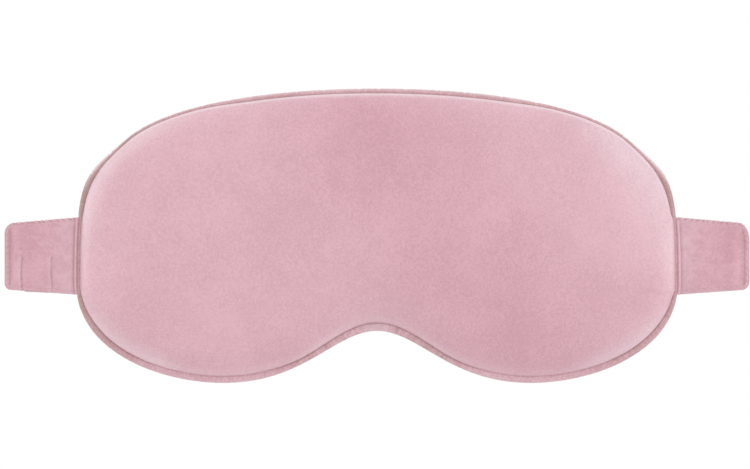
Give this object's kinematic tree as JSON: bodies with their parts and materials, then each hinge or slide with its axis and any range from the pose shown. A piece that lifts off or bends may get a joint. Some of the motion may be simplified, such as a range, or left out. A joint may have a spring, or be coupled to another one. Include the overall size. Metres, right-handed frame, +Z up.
{
  "type": "eye massager mask",
  "caption": "Padded satin eye mask with a nose notch, side tabs and a lapped elastic head strap; coin motors and a heating film are buried in its foam core.",
  "frame": {"origin": "middle of the flat face side, on the mask's left-right symmetry plane, halfway between its top edge and the bottom of its lobes", "axes": "+Z up as worn, +Y out of the face side towards the wearer's head, +X along the mask towards the plain tab"},
  "size_m": [0.255, 0.0801, 0.1003],
  "materials": {
    "front_satin": "satin weave",
    "rear_satin": "satin weave",
    "binding_satin": "satin, rolled",
    "tab_satin": "satin weave",
    "wadding": "soft fibre",
    "foam": "open-cell foam",
    "lining": "felted",
    "elastic": "ribbed elastic",
    "loop_pile": "loop pile",
    "hook_pile": "hook tape",
    "film": "carbon film",
    "copper": "bare copper",
    "bead": "epoxy",
    "board": "solder mask",
    "chip": "moulded",
    "cutoff": "ceramic case",
    "connector": "nylon",
    "supply_wire": "insulation",
    "heater_wire": "insulation",
    "motor_wire": "insulation",
    "bead_wire": "insulation",
    "motor_steel": "nickel plated",
    "magnet": "sintered",
    "rotor_resin": "moulded",
    "weight_metal": "sintered",
    "socket_steel": "drawn sheet",
    "socket_resin": "moulded"
  },
  "bodies": {
    "mask": {"front_cover": "front_satin", "rear_cover": "rear_satin", "edge_binding": "binding_satin", "front_wadding": "wadding", "core_foam": "foam", "face_foam": "foam", "heater_film": "film", "heater_bars": "copper", "temperature_bead": "bead", "bead_leads": "bead_wire", "control_board": "board", "control_chip": "chip", "thermal_cutoff": "cutoff", "lead_connectors": "connector", "supply_leads": "supply_wire", "heater_leads": "heater_wire", "left_motor_leads": "motor_wire", "right_motor_leads": "motor_wire", "left_tab": "tab_satin", "right_tab": "tab_satin", "left_tab_lining": "lining", "right_tab_lining": "lining", "socket_shell": "socket_steel", "socket_insert": "socket_resin", "left_strap_end": "elastic", "right_strap_end": "elastic", "left_motor_case": "motor_steel", "left_motor_base": "motor_steel", "left_motor_magnet": "magnet", "left_motor_shaft": "motor_steel", "right_motor_case": "motor_steel", "right_motor_base": "motor_steel", "right_motor_magnet": "magnet", "right_motor_shaft": "motor_steel"},
    "left_strap": {"left_strap": "elastic", "loop_patch": "loop_pile"},
    "right_strap": {"right_strap": "elastic", "hook_patch": "hook_pile"},
    "left_rotor": {"left_motor_rotor": "rotor_resin", "left_motor_coils": "copper", "left_motor_weight": "weight_metal"},
    "right_rotor": {"right_motor_rotor": "rotor_resin", "right_motor_coils": "copper", "right_motor_weight": "weight_metal"}
  },
  "joints": [
    {"name": "right_strap_fold", "type": "hinge", "parent": "mask", "child": "right_strap", "pos_m": [0.1244, -0.0031, -0.0068], "axis": [0, 0, -1], "range_deg": [0, 120]},
    {"name": "left_strap_fold", "type": "hinge", "parent": "mask", "child": "left_strap", "pos_m": [-0.1244, -0.0031, -0.0068], "axis": [0, 0, 1], "range_deg": [0, 96]},
    {"name": "left_motor_spin", "type": "hinge", "parent": "mask", "child": "left_rotor", "pos_m": [-0.034, -0.006, 0.002], "axis": [0, 1, 0], "continuous": true},
    {"name": "right_motor_spin", "type": "hinge", "parent": "mask", "child": "right_rotor", "pos_m": [0.034, -0.006, 0.002], "axis": [0, 1, 0], "continuous": true}
  ],
  "couplings": [
    {"joint": "left_strap_fold", "follows": "right_strap_fold", "ratio": 0.8}
  ]
}
